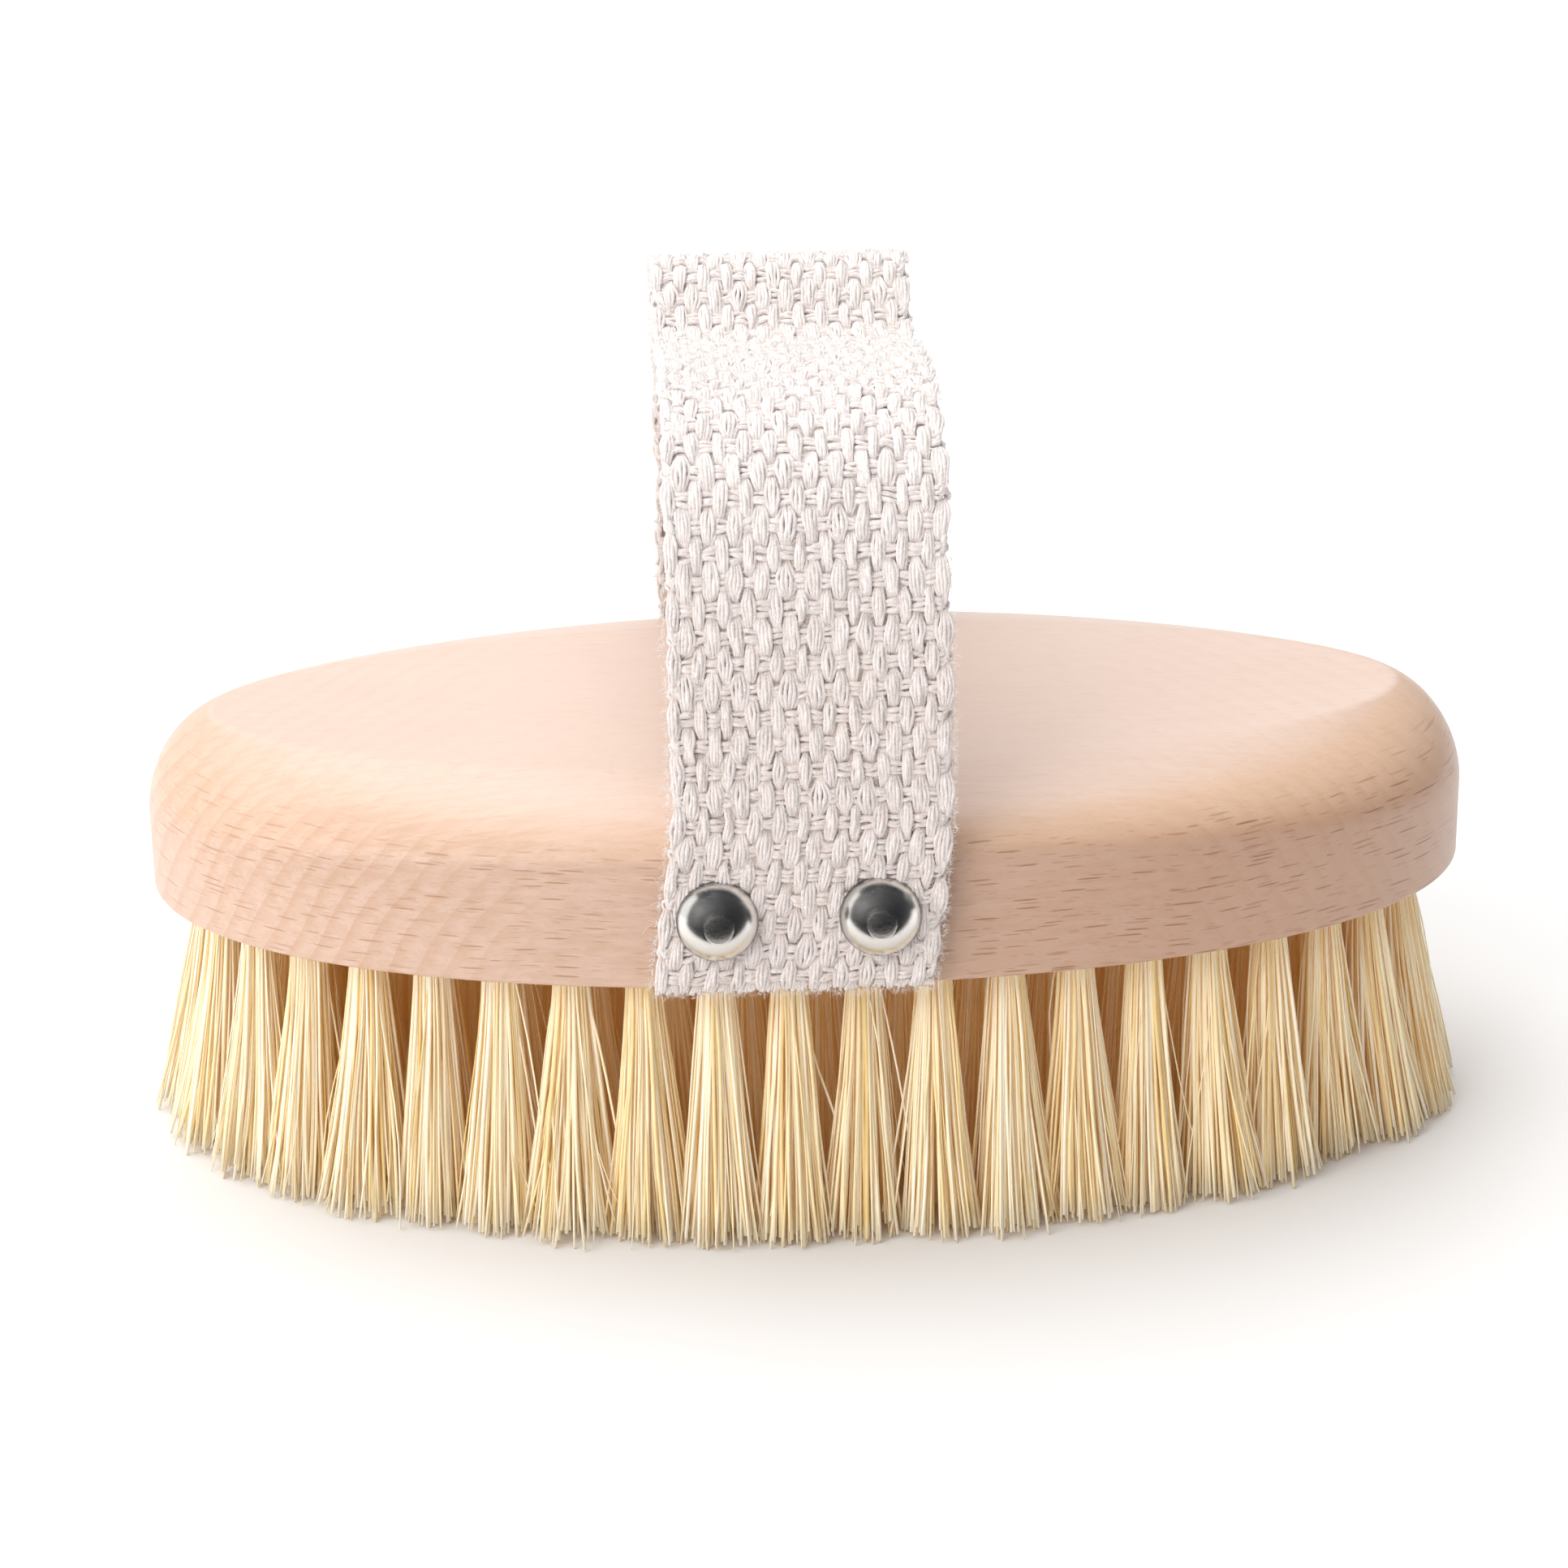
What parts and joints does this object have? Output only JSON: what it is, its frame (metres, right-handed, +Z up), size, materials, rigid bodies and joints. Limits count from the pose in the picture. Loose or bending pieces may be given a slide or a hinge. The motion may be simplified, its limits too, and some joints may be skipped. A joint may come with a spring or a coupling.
{
  "type": "body brush",
  "caption": "Oval wooden body dry brush with fanned plant-fibre tufts underneath and an arched cotton webbing hand strap nailed to both long sides.",
  "frame": {"origin": "on the floor, in the plane of the trimmed bristle tips, under the middle of the block", "axes": "+X along the block, -Y is the front that the strap's slanted end is nailed to, +Z up from the bristle tips to the strap"},
  "size_m": [0.1316, 0.0794, 0.0832],
  "materials": {
    "beech_wood": "pale pinkish beech, fine sanded and lightly oiled, grain along the block with short brown ray flecks",
    "cotton_webbing": "undyed off-white cotton, coarse plain weave of plied yarn, slightly fuzzy",
    "nickel_steel": "polished nickel-plated steel with fine handling marks",
    "plant_fibre": "stiff cream to golden plant-fibre bristles, matte with a slight sheen"
  },
  "bodies": {
    "root": {"brush_block": "beech_wood", "fourth_row_tufts_front": "plant_fibre", "fourth_row_tufts_rear": "plant_fibre", "hand_strap": "cotton_webbing", "middle_row_tufts": "plant_fibre", "outer_tuft_01": "plant_fibre", "outer_tuft_02": "plant_fibre", "outer_tuft_03": "plant_fibre", "outer_tuft_04": "plant_fibre", "outer_tuft_05": "plant_fibre", "outer_tuft_06": "plant_fibre", "outer_tuft_07": "plant_fibre", "outer_tuft_08": "plant_fibre", "outer_tuft_09": "plant_fibre", "outer_tuft_10": "plant_fibre", "outer_tuft_11": "plant_fibre", "outer_tuft_12": "plant_fibre", "outer_tuft_13": "plant_fibre", "outer_tuft_14": "plant_fibre", "outer_tuft_15": "plant_fibre", "outer_tuft_16": "plant_fibre", "outer_tuft_17": "plant_fibre", "outer_tuft_18": "plant_fibre", "outer_tuft_19": "plant_fibre", "outer_tuft_20": "plant_fibre", "outer_tuft_21": "plant_fibre", "outer_tuft_22": "plant_fibre", "outer_tuft_23": "plant_fibre", "outer_tuft_24": "plant_fibre", "outer_tuft_25": "plant_fibre", "outer_tuft_26": "plant_fibre", "outer_tuft_27": "plant_fibre", "outer_tuft_28": "plant_fibre", "outer_tuft_29": "plant_fibre", "outer_tuft_30": "plant_fibre", "outer_tuft_31": "plant_fibre", "outer_tuft_32": "plant_fibre", "outer_tuft_33": "plant_fibre", "outer_tuft_34": "plant_fibre", "outer_tuft_35": "plant_fibre", "outer_tuft_36": "plant_fibre", "outer_tuft_37": "plant_fibre", "outer_tuft_38": "plant_fibre", "outer_tuft_39": "plant_fibre", "outer_tuft_40": "plant_fibre", "outer_tuft_41": "plant_fibre", "outer_tuft_42": "plant_fibre", "second_row_tufts_front_left": "plant_fibre", "second_row_tufts_front_right": "plant_fibre", "second_row_tufts_rear_left": "plant_fibre", "second_row_tufts_rear_right": "plant_fibre", "strap_nail_front_left": "nickel_steel", "strap_nail_front_right": "nickel_steel", "strap_nail_rear_left": "nickel_steel", "strap_nail_rear_right": "nickel_steel", "third_row_tufts_front_left": "plant_fibre", "third_row_tufts_front_right": "plant_fibre", "third_row_tufts_rear_left": "plant_fibre", "third_row_tufts_rear_right": "plant_fibre"}
  },
  "joints": []
}
